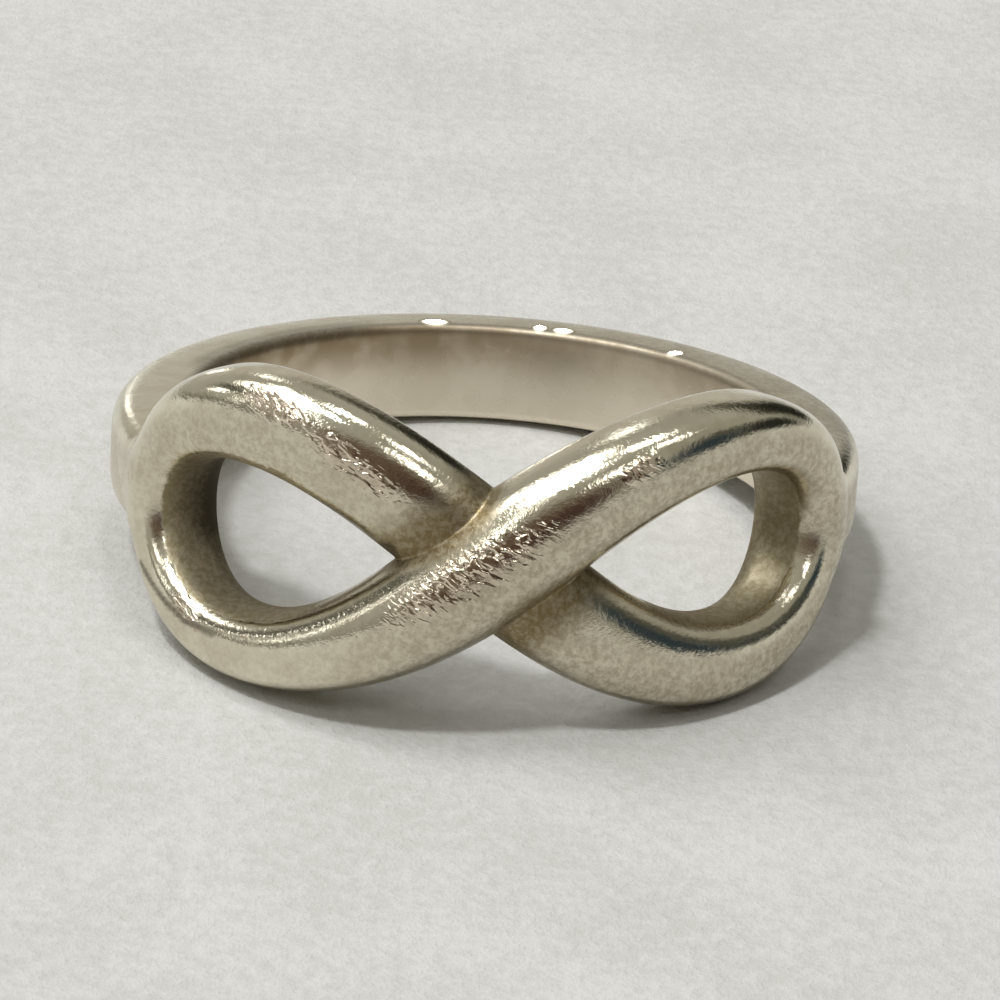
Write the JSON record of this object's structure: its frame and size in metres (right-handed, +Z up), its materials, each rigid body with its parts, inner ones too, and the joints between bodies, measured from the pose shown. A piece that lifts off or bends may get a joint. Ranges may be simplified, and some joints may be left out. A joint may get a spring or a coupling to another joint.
{
  "type": "infinity ring",
  "caption": "Finger ring with a flat-sided band and an open figure-of-eight front, made of a rounded strand that crosses over itself.",
  "frame": {"origin": "middle of the finger bore, on its axis", "axes": "+Z up as the ring rests on its side, the figure of eight facing -Y with its length along X"},
  "size_m": [0.0218, 0.0221, 0.0091],
  "materials": {
    "silver": "worn polished silver, scratched on its crowns and tarnished in its recesses"
  },
  "bodies": {
    "root": {"ring": "silver"}
  },
  "joints": []
}
